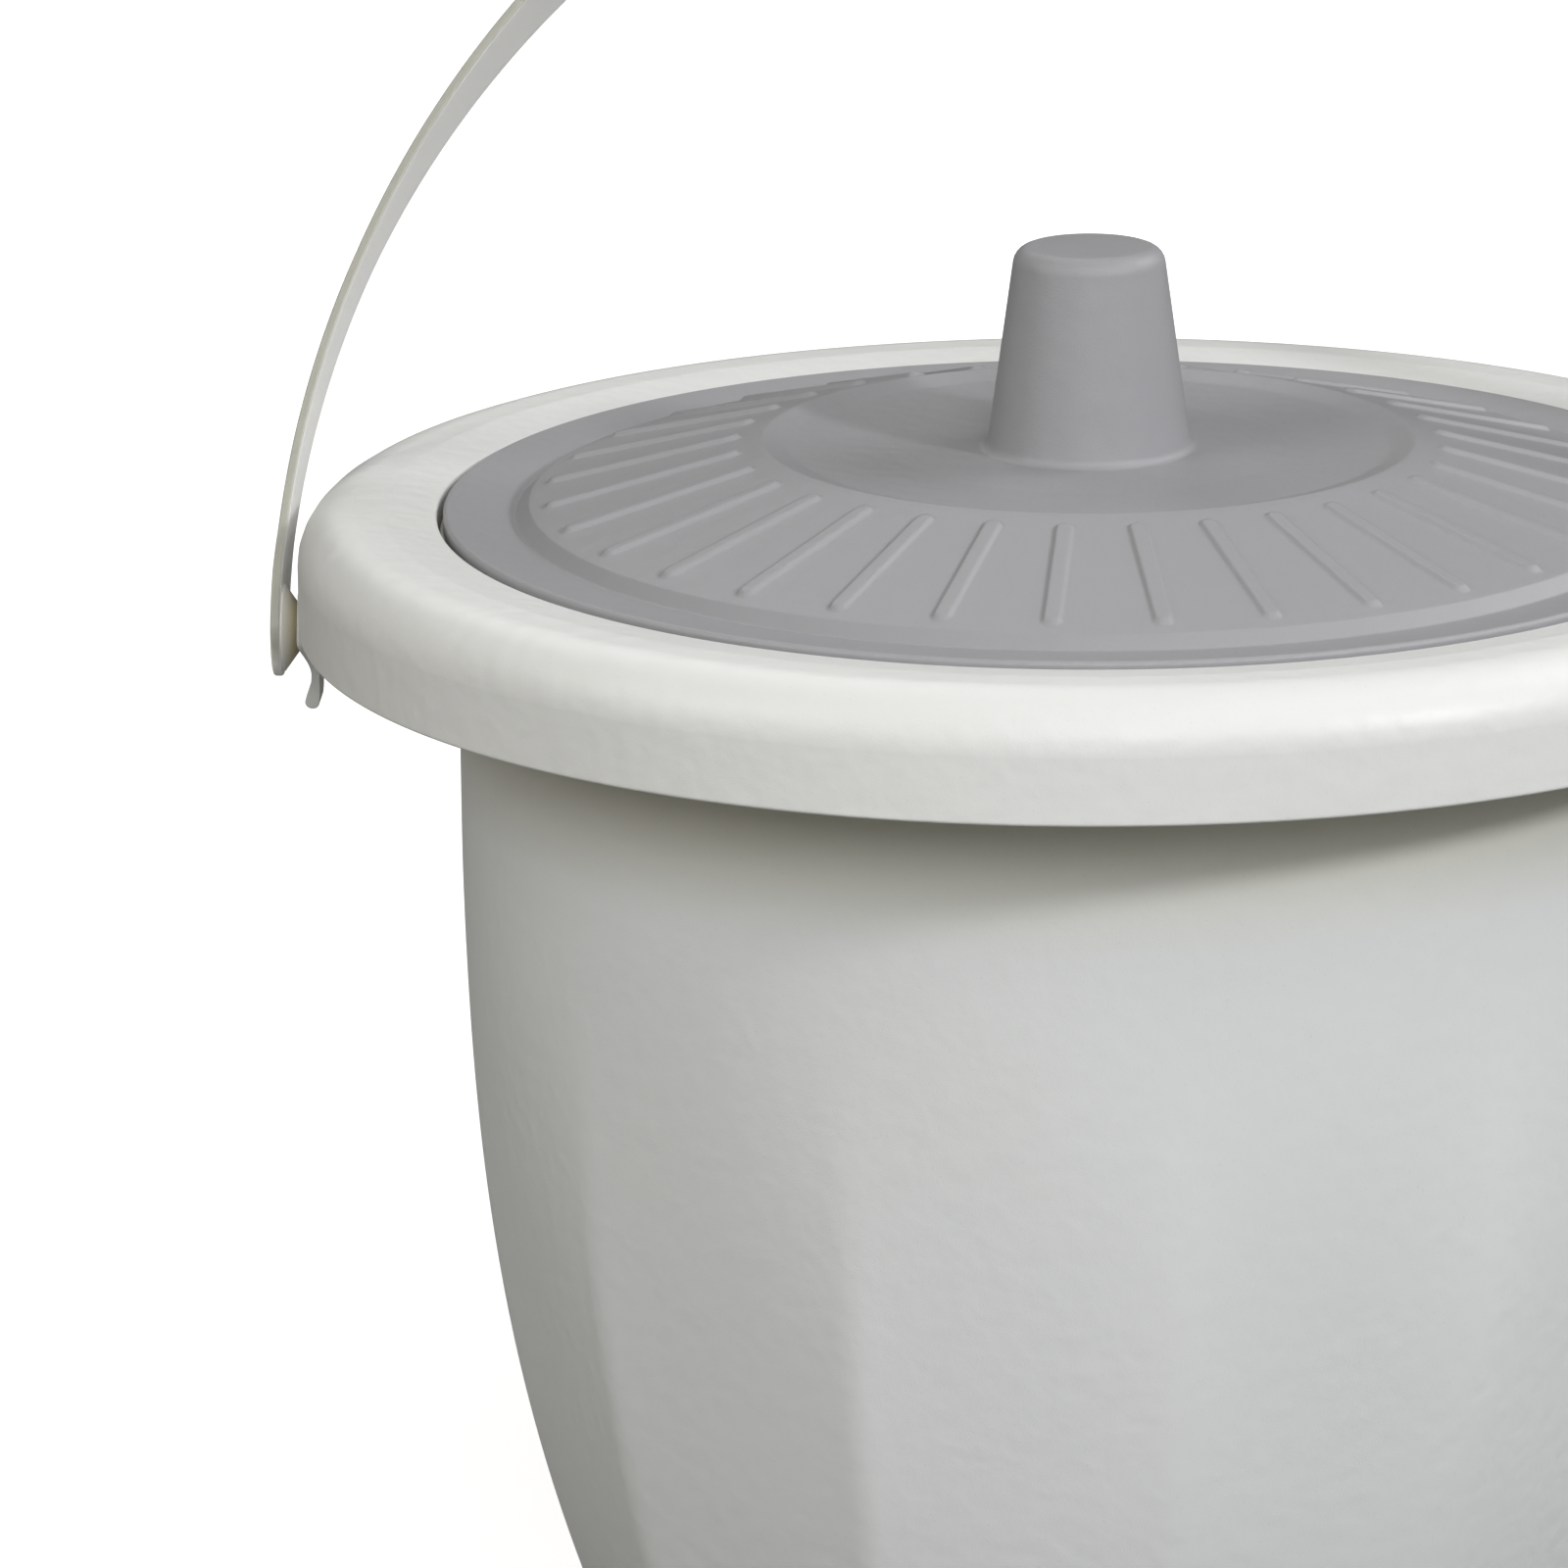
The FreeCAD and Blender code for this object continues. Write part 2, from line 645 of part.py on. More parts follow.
def make_stud(name, hand):
    """A push-in stud: flush head in the strap's eye, shank in the boss, barbed and split end."""
    stud = new_body(name)
    reach = strap_half_span - lug_back + eye_clearance
    tip = reach + stud_barb * 4
    revolve(stud, f"{name}_turned", [
        (0, 0, None),
        (stud_head_radius, 0, None),
        (stud_head_radius, stud_head_thickness, None),
        (stud_radius, stud_head_thickness, None),
        (stud_radius, reach, None),
        (stud_radius + stud_barb, reach, None),
        (stud_radius - stud_barb, tip, None),
        (0, tip, None),
    ])
    slot = new_sketch(stud, f"{name}_slot_outline", "XZ_Plane")
    outline(slot, [
        (-stud_slot / 2, tip - stud_slot_depth, None),
        (stud_slot / 2, tip - stud_slot_depth, None),
        (stud_slot / 2, tip + 1, None),
        (-stud_slot / 2, tip + 1, None),
    ])
    pocket(stud, slot, f"{name}_slot", stud_radius * 4, both_ways=True)
    stud.Placement = FreeCAD.Placement(vector(0, 0, 0), vector(0, 1, 0), -90 * hand)
    stud.setExpression("Placement.Base.x", (strap_half_span * hand).formula)
    stud.setExpression("Placement.Base.z", pivot_height.formula)
    doc.recompute()
    return stud


def check_and_export(pieces):
    doc.recompute()
    for item in doc.Objects:
        if "Invalid" in item.State or "Error" in item.State:
            raise ValueError(f"{item.Name} failed: {item.State}")
    for piece in pieces:
        if piece.Shape.isNull() or not piece.Shape.isValid():
            raise ValueError(f"{piece.Label} has no valid shape")
    for piece in pieces:
        piece.Shape.exportStep(f"parts/{piece.Label}.step")
        box = piece.Shape.BoundBox
        print(piece.Label, len(piece.Shape.Solids), "solids", round(piece.Shape.Volume), "mm3",
              [round(v, 2) for v in (box.XMin, box.XMax, box.YMin, box.YMax, box.ZMin, box.ZMax)])


def main():
    studs = [make_stud("pivot_stud_right", 1), make_stud("pivot_stud_left", -1)]
    pieces = [make_pail(), make_brim(), make_lid(), make_handle()] + studs
    check_and_export(pieces)


main()
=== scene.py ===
"""Slop jar: a panelled pail with a white brim ring, a ribbed lid and a strap handle."""
import math

import bmesh
import bpy
import numpy as np
from mathutils import Matrix, Vector


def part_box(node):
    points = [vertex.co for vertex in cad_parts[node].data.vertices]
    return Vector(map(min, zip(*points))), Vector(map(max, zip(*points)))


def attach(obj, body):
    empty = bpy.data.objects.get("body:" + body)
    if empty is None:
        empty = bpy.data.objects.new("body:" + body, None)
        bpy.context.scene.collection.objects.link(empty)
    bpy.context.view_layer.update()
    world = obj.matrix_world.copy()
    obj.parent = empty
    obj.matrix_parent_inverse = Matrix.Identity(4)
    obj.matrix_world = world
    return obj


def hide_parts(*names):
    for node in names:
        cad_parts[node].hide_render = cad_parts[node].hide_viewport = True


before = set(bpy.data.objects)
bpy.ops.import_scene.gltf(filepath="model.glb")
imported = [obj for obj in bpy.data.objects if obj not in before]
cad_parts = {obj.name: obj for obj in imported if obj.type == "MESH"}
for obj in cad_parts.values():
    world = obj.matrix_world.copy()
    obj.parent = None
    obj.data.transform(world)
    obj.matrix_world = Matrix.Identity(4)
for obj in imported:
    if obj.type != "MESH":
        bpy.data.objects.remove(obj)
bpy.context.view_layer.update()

bl_info = {
    "name": "Slop Jar",
    "version": (1, 0, 0),
    "blender": (4, 5, 0),
    "location": "View3D > Sidebar > Slop Jar",
    "description": "Builds a moulded slop pail with its brim ring, ribbed lid and strap handle",
    "category": "Add Mesh",
}

MM = 0.001
PAIL_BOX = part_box("pail_body")
BRIM_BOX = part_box("brim_ring")
LID_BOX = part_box("lid")
STRAP_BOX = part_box("strap_handle")


def length(name, description, default):
    """A size in metres that the sidebar shows with its unit."""
    return bpy.props.FloatProperty(
        name=name, description=description, default=default, min=0, unit="LENGTH", precision=4)


def colour(name, description, default):
    return bpy.props.FloatVectorProperty(
        name=name, description=description, default=default, size=3, min=0, max=1, subtype="COLOR")


class SlopJarSizes(bpy.types.PropertyGroup):
    """Sizes of the pail, brim ring, lid and handle, as the CAD part has them."""

    mouth_radius: length("Mouth radius", "Outside of the pail's wall at the mouth", 0.1278)
    foot_radius: length("Foot radius", "Outside of the wall at the foot, on an arris", 0.0844)
    rim_height: length("Rim height", "Top of the pail's rim flange", PAIL_BOX[1].z)
    flange_radius: length("Flange radius", "Outside of the pail's rim flange", PAIL_BOX[1].x)
    wall: length("Wall", "Thickness of the pail's wall", 0.0022)
    belly_top: length("Belly top", "Height at which the wall starts to draw in", 0.2185)
    belly_power: bpy.props.FloatProperty(
        name="Belly power", description="How late the wall draws in towards the foot", default=2.6)
    panel_count: bpy.props.IntProperty(
        name="Panels", description="Flat panels around the lower wall", default=12, min=3)
    panel_turn: bpy.props.FloatProperty(
        name="Panel turn", description="Angle of the first arris from the front",
        default=math.radians(8.5), subtype="ANGLE")
    panel_top: length("Panel top", "Height above which no panel shows", 0.205)
    panel_full: length("Panel full", "Height below which the panels are flat", 0.1)
    arris_round: length("Arris round", "Rounding of the edges between panels", 0.015)
    brim_radius: length("Brim radius", "Outside of the brim's skirt", 0.16)
    brim_top: length("Brim top", "Height of the brim's crown", BRIM_BOX[1].z)
    brim_depth: length("Brim depth", "Height of the brim's skirt and crown", 0.0245)
    brim_round: length("Brim round", "Rounding between crown and skirt", 0.011)
    lip_radius: length("Lip radius", "Bore of the brim that the lid drops into", 0.1317)
    lid_radius: length("Lid radius", "Outside of the lid's rim", LID_BOX[1].x)
    lid_top: length("Lid top", "Height of the knob's top", LID_BOX[1].z)
    rib_count: bpy.props.IntProperty(
        name="Ribs", description="Raised ribs on the lid's cone", default=32, min=4)
    rib_turn: bpy.props.FloatProperty(
        name="Rib turn", description="Angle of a gap between ribs from the front",
        default=math.radians(1.9), subtype="ANGLE")
    rib_height: length("Rib height", "Height of the ribs above the cone", 0.0009)
    strap_span: length("Strap half span", "Outer face of the strap at its pivots", STRAP_BOX[1].x)
    strap_rise: length("Strap rise", "Height of the strap's crown above its pivots", 0.192)
    strap_side: length("Strap side radius", "Bend of the strap's two sides", 0.212)
    strap_thickness: length("Strap thickness", "Thickness of the strap", 0.002)
    strap_lean: bpy.props.FloatProperty(
        name="Strap lean", description="Lean of the strap towards the back",
        default=math.radians(32), subtype="ANGLE")
    pivot_height: length("Pivot height", "Height of the strap's pivots", 0.2473)


class SlopJarFinishes(bpy.types.PropertyGroup):
    """Colours of the moulded plastics, as linear values."""

    pail_colour: colour("Pail", "Light grey plastic of the pail", (0.735, 0.755, 0.765))
    brim_colour: colour("Brim", "White plastic of the brim ring", (0.73, 0.74, 0.735))
    lid_colour: colour("Lid", "Grey plastic of the lid", (0.31, 0.31, 0.328))
    handle_colour: colour("Handle", "White plastic of the strap handle", (0.88, 0.88, 0.865))
    stud_colour: colour("Studs", "White plastic of the pivot studs", (0.74, 0.74, 0.71))


# Profiles and grids


def rounded_path(corners, steps=6, closed=False, support=0.4):
    """Points along straight runs whose corners are arcs.

    A corner (across, up, rounding) becomes the arc that touches both of its runs: it starts
    rounding / tan(half the corner's angle) before the corner and ends as far after it. A run
    gets a point close to each of its ends, so that shading stays on the arcs.
    """
    places = np.array([corner[:2] for corner in corners], float)
    radii = np.array([corner[2] for corner in corners], float)
    count = len(places)
    made = []
    for i in range(count):
        if not closed and i in (0, count - 1) or radii[i] == 0:
            made.append(places[i:i + 1])
            continue
        back = places[i - 1] - places[i]
        ahead = places[(i + 1) % count] - places[i]
        back = back / np.linalg.norm(back)
        ahead = ahead / np.linalg.norm(ahead)
        half = math.acos(np.clip(back @ ahead, -1, 1)) / 2
        reach = radii[i] / math.tan(half)
        middle = (back + ahead) / np.linalg.norm(back + ahead)
        centre = places[i] + middle * radii[i] / math.sin(half)
        first = places[i] + back * reach - centre
        last = places[i] + ahead * reach - centre
        share = np.linspace(0, 1, steps + 1)[:, None]
        swing = math.pi - 2 * half
        arc = (np.sin((1 - share) * swing) * first + np.sin(share * swing) * last) / math.sin(swing)
        made.append(centre + arc)
    line = [made[0]]
    followers = made[1:] + ([made[0][:1]] if closed else [])
    for piece in followers:
        start, end = line[-1][-1], piece[0]
        run = np.linalg.norm(end - start)
        if run > support * 3:
            share = np.array([[support / run], [1 - support / run]])
            line.append(start + (end - start) * share)
        line.append(piece)
    points = np.concatenate(line)
    return points[:-1] if closed else points


def spread(points, longest):
    """The same line with no step longer than a length: each long step is divided evenly."""
    steps = np.linalg.norm(np.diff(points, axis=0), axis=1)
    parts = np.maximum(np.ceil(steps / longest).astype(int), 1)
    along = np.concatenate([[0], np.cumsum(steps)])
    starts = np.repeat(along[:-1], parts)
    lengths = np.repeat(steps / parts, parts)
    number = np.arange(parts.sum()) - np.repeat(np.cumsum(parts) - parts, parts)
    places = np.append(starts + lengths * number, along[-1])
    return np.stack([np.interp(places, along, points[:, k]) for k in range(points.shape[1])], 1)


def grid_faces(rows, columns, close_rows=False, close_columns=True):
    """Quads between neighbours of a grid of rows and columns, joined round where it is closed."""
    row = np.arange(rows if close_rows else rows - 1)[:, None]
    column = np.arange(columns if close_columns else columns - 1)[None, :]
    next_row, next_column = (row + 1) % rows, (column + 1) % columns
    corners = [row * columns + column, row * columns + next_column,
               next_row * columns + next_column, next_row * columns + column]
    return np.stack(np.broadcast_arrays(*corners), -1).reshape(-1, 4)


def finish_mesh(name, shells, closed=True):
    """One object from shells of points and faces: doubles merged, faces outward, smooth."""
    mesh = bpy.data.meshes.new(name)
    points = np.concatenate([shell[0].reshape(-1, 3) for shell in shells])
    starts = np.cumsum([0] + [shell[0].reshape(-1, 3).shape[0] for shell in shells])
    faces = [face for start, shell in zip(starts, shells) for face in (shell[1] + start).tolist()]
    mesh.from_pydata(points.tolist(), [], faces)
    made = bmesh.new()
    made.from_mesh(mesh)
    bmesh.ops.remove_doubles(made, verts=made.verts, dist=1e-6)
    bmesh.ops.dissolve_degenerate(made, edges=made.edges, dist=1e-7)
    if closed:
        bmesh.ops.recalc_face_normals(made, faces=made.faces)
    made.to_mesh(mesh)
    made.free()
    mesh.shade_smooth()
    piece = bpy.data.objects.new(name, mesh)
    bpy.context.scene.collection.objects.link(piece)
    return piece


def turned(profile, columns):
    """A profile of radii and heights turned about Z: (r cos a, r sin a, z) for evenly spaced a."""
    angle = np.linspace(0, 2 * math.pi, columns, endpoint=False)[None, :]
    radius, height = profile[:, :1], profile[:, 1:2]
    points = np.stack(np.broadcast_arrays(
        radius * np.cos(angle), radius * np.sin(angle), height), -1)
    return points, grid_faces(len(profile), columns)


def bevelled(piece, width, segments=3, angle=40):
    modifier = piece.modifiers.new("edges", "BEVEL")
    modifier.width = width
    modifier.segments = segments
    modifier.limit_method = "ANGLE"
    modifier.angle_limit = math.radians(angle)
    modifier.harden_normals = True
    return piece


def place(piece, body, slot, *nodes):
    """Let a piece ride on its body and stand for its CAD nodes; slot is not used."""
    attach(piece, body)
    if nodes:
        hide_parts(*nodes)
    return piece


def smooth_step(value):
    """A smooth step from 0 to 1: x * x * (3 - 2x), held at both ends."""
    value = np.clip(value, 0, 1)
    return value * value * (3 - 2 * value)


# Materials


class Wire:
    """A number on a node's socket: sums with it add Math nodes to its tree."""

    def __init__(self, finish, socket):
        self.finish = finish
        self.socket = socket

    def join(self, operation, first, second=0.0):
        return self.finish.node("Math", {"operation": operation}, first, second)[0]

    def __add__(self, other):
        return self.join("ADD", self, other)

    def __sub__(self, other):
        return self.join("SUBTRACT", self, other)

    def __rsub__(self, other):
        return self.join("SUBTRACT", other, self)

    def __mul__(self, other):
        return self.join("MULTIPLY", self, other)

    def __truediv__(self, other):
        return self.join("DIVIDE", self, other)

    def __abs__(self):
        return self.join("ABSOLUTE", self)

    __radd__ = __add__
    __rmul__ = __mul__


class Finish:
    """A material whose nodes are added one call at a time."""

    def __init__(self, name):
        self.material = bpy.data.materials.new(name)
        self.material.use_nodes = True
        self.tree = self.material.node_tree
        self.tree.nodes.clear()

    def node(self, kind, settings=None, *values, **named):
        """Add one node: its settings first, then the values or links of its sockets."""
        made = self.tree.nodes.new("ShaderNode" + kind)
        for key, value in (settings or {}).items():
            if key == "stops":
                self.set_stops(made.color_ramp, value)
            else:
                setattr(made, key, value)
        for socket, value in zip(made.inputs, values):
            self.put(socket, value)
        for key, value in named.items():
            self.put(made.inputs[key.replace("_", " ")], value)
        return [Wire(self, socket) for socket in made.outputs if socket.enabled]

    def put(self, socket, value):
        if isinstance(value, Wire):
            self.tree.links.new(value.socket, socket)
        else:
            socket.default_value = value

    def set_stops(self, ramp, stops):
        """Give a colour ramp its stops, as (place, value) pairs of plain greys."""
        for i, (at, value) in enumerate(stops):
            stop = ramp.elements[i] if i < 2 else ramp.elements.new(at)
            stop.position = at
            stop.color = (value, value, value, 1)

    def place(self, scale=(1, 1, 1)):
        """Object coordinates, stretched along the axes where a pattern is."""
        coordinates = self.node("TexCoord")[3]
        if scale == (1, 1, 1):
            return coordinates
        return self.node("Mapping", {}, Vector=coordinates, Scale=scale)[0]

    def noise(self, scale, detail=2.0, roughness=0.5, stretch=(1, 1, 1)):
        """Noise from 0 to 1, with scale in features per metre."""
        return self.node("TexNoise", {}, Vector=self.place(stretch), Scale=scale, Detail=detail,
                         Roughness=roughness)[0]

    def ramp(self, wire, *stops):
        """A number run through grey stops."""
        return self.node("ValToRGB", {"stops": stops}, wire)[0]

def mix_colour(finish, share, first, second, mode="MIX"):
    """A colour between two, by a share; either colour may be a wire or a plain colour."""
    made = finish.tree.nodes.new("ShaderNodeMix")
    made.data_type = "RGBA"
    made.blend_type = mode
    finish.put(made.inputs[0], share)
    finish.put(made.inputs[6], first)
    finish.put(made.inputs[7], second)
    return Wire(finish, made.outputs[2])


def shade(colour, factor):
    """A plain colour times a number, with its alpha."""
    return tuple(channel * factor for channel in colour) + (1.0,)


def moulded_plastic(name, base, roughness, grain, peel, warm=0.0, scuffs=0.5, painted_shade=None,
                    edges=None, through=0.0):
    """Injection-moulded plastic.

    Cloudy tone in two sizes, sparse flecks, faint handling scuffs that dull the gloss, a fine
    grain from the mould and the long soft waves of cooled plastic, of heights grain and peel.
    warm is the share of yellowed patches. The painted shade argument is an axis, the distances
    along it where a brown painted shade starts and is full, and that tone. edges is the axis whose
    faces get painted shade, darker. through is the share of light that passes into the plastic.
    """
    finish = Finish(name)
    clouds = finish.noise(14, 3, 0.55)
    mottle = finish.noise(160, 2, 0.6)
    flecks = finish.ramp(finish.noise(1500, 1, 0.4), (0.0, 0), (0.69, 0), (0.76, 1))
    scratch = finish.noise(55, 4, 0.65, (1, 9, 3))
    scratch_b = finish.noise(60, 4, 0.65, (8, 1, 2))
    marks = finish.ramp(scratch, (0.0, 0), (0.60, 0), (0.70, 1)) + finish.ramp(
        scratch_b, (0.0, 0), (0.61, 0), (0.71, 1))
    tone = mix_colour(finish, clouds, shade(base, 0.965), shade(base, 1.03))
    tone = mix_colour(finish, mottle * 0.35, tone, shade(base, 0.97))
    tone = mix_colour(finish, flecks * 0.10, tone, shade(base, 0.55))
    tone = mix_colour(finish, marks * (0.05 * scuffs), tone, shade(base, 1.12))
    if warm:
        stain = finish.ramp(finish.noise(22, 3, 0.6), (0.0, 0), (0.45, 0), (0.8, 1))
        yellow = (base[0] * 1.0, base[1] * 0.965, base[2] * 0.88, 1)
        tone = mix_colour(finish, stain * warm, tone, yellow)
    # Painted shade: a brown tone multiplied in along one axis, darker from start to full.
    if painted_shade:
        axis, start, full, tint = painted_shade
        along = finish.node("SeparateXYZ", {}, finish.place())[axis]
        share = finish.ramp((abs(along) - start) / (full - start), (0, 0), (1, 1))
        tone = mix_colour(finish, share, tone, tint, "MULTIPLY")
    # Painted shade: faces whose normal lies along the edges axis are darkened to a warm grey.
    if edges:
        across = finish.node(
            "VectorMath", {"operation": "DOT_PRODUCT"}, finish.node("TexCoord")[1], edges)[0]
        share = finish.ramp(abs(across), (0, 0), (0.3, 0), (0.75, 1))
        tone = mix_colour(finish, share, tone, (0.46, 0.46, 0.42, 1), "MULTIPLY")
    gloss = roughness + (clouds - 0.5) * 0.10 + (mottle - 0.5) * 0.06 + marks * (0.10 * scuffs)
    fine = finish.noise(2600, 2, 0.6)
    broad = finish.noise(220, 1, 0.4)
    fine_bump = finish.node("Bump", {}, Strength=1.0, Distance=grain, Height=fine)[0]
    bump = finish.node("Bump", {}, Strength=1.0, Distance=peel, Height=broad, Normal=fine_bump)[0]
    shader = finish.node(
        "BsdfPrincipled", {}, Base_Color=tone, Roughness=gloss, Normal=bump, IOR=1.49,
        Subsurface_Weight=through, Subsurface_Radius=(1, 1, 0.9), Subsurface_Scale=0.003)[0]
    finish.node("OutputMaterial", {}, shader)
    return finish.material


def sizes():
    return bpy.context.scene.slop_jar_sizes


def finishes():
    return bpy.context.scene.slop_jar_finishes


# Pail


def wall_radius(angle, height):
    """Outer radius of the wall, round at the mouth and panelled below.

    The arrises lie at R(z) = mouth - (mouth - foot) * ((belly top - z) / belly top) ^ power. A
    panel is the straight line flat / cos(c), with c the angle from its centre, and an arris is
    an arc of its rounding that touches both panels. The share of that shape against the plain
    circle is a smooth step of the height, from none at panel top to all at panel full.
    """
    s = sizes()
    below = np.clip(s.belly_top - height, 0, None) / s.belly_top
    radius = s.mouth_radius - (s.mouth_radius - s.foot_radius) * below ** s.belly_power
    half = math.pi / s.panel_count
    rounding = s.arris_round
    from_arris = np.abs((angle + half) % (2 * half) - half)
    from_centre = half - from_arris
    to_round = radius - rounding
    flat = to_round * math.cos(half) + rounding
    edge = np.arctan2(flat * math.tan(half) - rounding * math.tan(half), flat)
    panel = flat / np.cos(from_centre) + 0.5 * MM * (1 - (from_centre / edge) ** 2)
    across = np.clip(to_round * np.sin(from_arris), -rounding, rounding)
    arris = to_round * np.cos(from_arris) + np.sqrt(rounding ** 2 - across ** 2)
    shaped = np.where(from_centre <= edge, panel, arris)
    share = smooth_step((s.panel_top - height) / (s.panel_top - s.panel_full))
    return radius + share * (shaped - radius)


def pail_rows():
    """Rows of the pail's surface: height, inset from the outer wall, scale and added radius.

    They run from the centre of the underside out to the foot, up the outer wall, over the rim
    flange, down the inner wall and in to the centre of the floor.
    """
    s = sizes()
    top, flange, wall = s.rim_height, s.flange_radius, s.wall
    edge = 0.25 * MM
    under, floor = 6 * MM, 8.6 * MM
    share = np.array([0, 0.3, 0.6, 0.85, 0.97, 0.99])
    beneath = np.stack([np.full(6, under), share * wall, share, np.zeros(6)], 1)
    foot = np.array([
        (under - edge, wall, 1, 0), (3 * MM, wall, 1, 0), (0.8 * MM, wall, 1, 0),
        (0.5 * MM, wall - 0.05 * MM, 1, 0), (0.15 * MM, wall - 0.3 * MM, 1, 0),
        (0, wall - 0.8 * MM, 1, 0), (0, 0.8 * MM, 1, 0), (0.15 * MM, 0.3 * MM, 1, 0),
        (0.5 * MM, 0.05 * MM, 1, 0), (0.8 * MM, 0, 1, 0)])
    heights = np.linspace(2.5 * MM, top - 3 * MM, 104)
    outside = np.stack([heights, 0 * heights, np.ones(104), 0 * heights], 1)
    low = top - 2.8 * MM
    rim = np.array([
        (low, 0, 0, flange - 3 * MM), (low, 0, 0, flange - edge), (low + edge, 0, 0, flange),
        (top - edge, 0, 0, flange), (top - edge / 4, 0, 0, flange - edge / 4),
        (top, 0, 0, flange - edge), (top, wall - edge, 1, 0), (top - edge, wall, 1, 0)])
    heights = np.linspace(top - 1.5 * MM, floor + 4 * MM, 60)
    inside = np.stack([heights, wall + 0 * heights, np.ones(60), 0 * heights], 1)
    turn = np.linspace(0.12, 1, 6) * math.pi / 2
    fillet = np.stack([
        floor + 3 * MM * (1 - np.sin(turn)), wall + 3 * MM * (1 - np.cos(turn)),
        np.ones(6), 0 * turn], 1)
    share = np.array([0.9, 0.6, 0.3, 0])
    base = np.stack([np.full(4, floor), share * (wall + 3 * MM), share, np.zeros(4)], 1)
    return np.concatenate([beneath, foot, outside, rim, inside, fillet, base])


def build_pail():
    """Radius of a row at an angle = scale * wall radius - inset + added radius."""
    s = sizes()
    half = math.pi / s.panel_count
    near = math.radians(2.7)
    arris = np.linspace(-near, near, 11)[:-1]
    panel = np.linspace(near, 2 * half - near, 15)[:-1]
    one = np.concatenate([arris, panel])
    local = (one[None, :] + 2 * half * np.arange(s.panel_count)[:, None]).reshape(-1)
    rows = pail_rows()
    height, inset, scale, added = (rows[:, k:k + 1] for k in range(4))
    radius = scale * wall_radius(local[None, :], height) - inset + added
    angle = local[None, :] + s.panel_turn - math.pi / 2
    points = np.stack(np.broadcast_arrays(
        radius * np.cos(angle), radius * np.sin(angle), height), -1)
    return finish_mesh("pail", [(points, grid_faces(*points.shape[:2]))])


class SLOPJAR_OT_pail(bpy.types.Operator):
    """Build the pail: panelled wall, floor and rim flange"""

    bl_idname = "slopjar.pail"
    bl_label = "Pail"

    def execute(self, context):
        pail = place(build_pail(), "pail", "pail", "pail_body")
        # Painted shade: the top of the wall, under the brim, darker and browner from 215 to 245 mm up.
        pail.data.materials.append(moulded_plastic(
            "pail_plastic", finishes().pail_colour, 0.42, 0.00004, 0.00018, warm=0.12,
            painted_shade=(2, 0.215, 0.245, (0.93, 0.88, 0.72, 1))))
        return {"FINISHED"}


# Brim ring


def brim_profile():
    """The brim's section: skirt, crown, lip and snap wall, with radii and heights in mm."""
    s = sizes()
    top = s.brim_top / MM
    low = top - s.brim_depth / MM
    out = s.brim_radius / MM
    lip = s.lip_radius / MM
    round_over = s.brim_round / MM
    snap = s.rim_height / MM - 3.1
    catch = s.flange_radius / MM + 0.3
    corners = [
        (out - 2.4, low, 0.6), (out, low, 0.7), (out, top, round_over),
        (lip + round_over, top, 9), (lip, top - 1.5, 0.8), (lip, snap, 0.2),
        (catch - 1.3, snap, 0.2), (catch, snap - 2.6, 0.4), (lip + 2.4, snap - 2.6, 0.4),
        (lip + 2.4, top - 2.4, 1), (out - 4.8, top - 2.4, 2), (out - 2.4, top - 4.8, 2)]
    return spread(rounded_path(corners, 7, closed=True), 6) * MM


def lug_shell():
    """A lug: point(i, j) = middle(i) + side * normal(i) * half thickness(i), at j * half width(i).

    The middle line runs from inside the skirt down to the curled tail, whose end is a half
    round: there the line goes on by r sin t while the half thickness falls as r cos t.
    """
    s = sizes()
    out = s.brim_radius / MM
    bottom = (s.brim_top - s.brim_depth) / MM
    line = spread(rounded_path([
        (out - 1.4, bottom + 7, 0), (out - 1.1, bottom - 3.6, 6), (out - 3, bottom - 11.1, 4),
        (out - 2.9, bottom - 13.5, 3), (out - 2.2, bottom - 17.2, 0)], 6), 1.2)
    towards = np.gradient(line, axis=0)
    towards /= np.linalg.norm(towards, axis=1)[:, None]
    normal = np.stack([-towards[:, 1], towards[:, 0]], 1)
    half = np.interp(
        bottom - line[:, 1], [-7, 3.6, 10, 13, 15.6, 17.2], [1.2, 1.3, 0.85, 0.9, 1.35, 1.5])
    turn = np.linspace(0, math.pi / 2, 7)[1:, None]
    end = line[-1] + towards[-1] * half[-1] * np.sin(turn)
    line = np.concatenate([line, end])
    normal = np.concatenate([normal, np.repeat(normal[-1:], 6, 0)])
    half = np.concatenate([half, half[-1] * np.cos(turn[:, 0])])
    width = 5 + 6 * smooth_step((line[:, 1] - bottom + 10) / 7)
    width[-6:] *= 1 - 0.12 * (1 - np.cos(turn[:, 0]))
    outer = line + normal * half[:, None]
    inner = line - normal * half[:, None]
    loop = np.concatenate([outer, inner[::-1]])
    across = np.concatenate([width, width[::-1]])[:, None] * np.linspace(-1, 1, 9)[None, :]
    points = np.stack(np.broadcast_arrays(loop[:, :1], across, loop[:, 1:2]), -1) * MM
    faces = grid_faces(len(loop), 9, close_rows=True, close_columns=False)
    row = np.arange(len(line) - 1)
    back = len(loop) - 1 - row
    cap = np.stack([row, row + 1, back - 1, back], 1) * 9
    return points, np.concatenate([faces, cap, cap + 8])


def turned_about_pivot(across, radius, columns):
    """Columns of places across and radii turned about the pivots: (x, r cos a, pivot + r sin a)."""
    angle = np.linspace(0, 2 * math.pi, columns, endpoint=False)[None, :]
    return np.stack(np.broadcast_arrays(
        across, radius * np.cos(angle), sizes().pivot_height + radius * np.sin(angle)), -1)


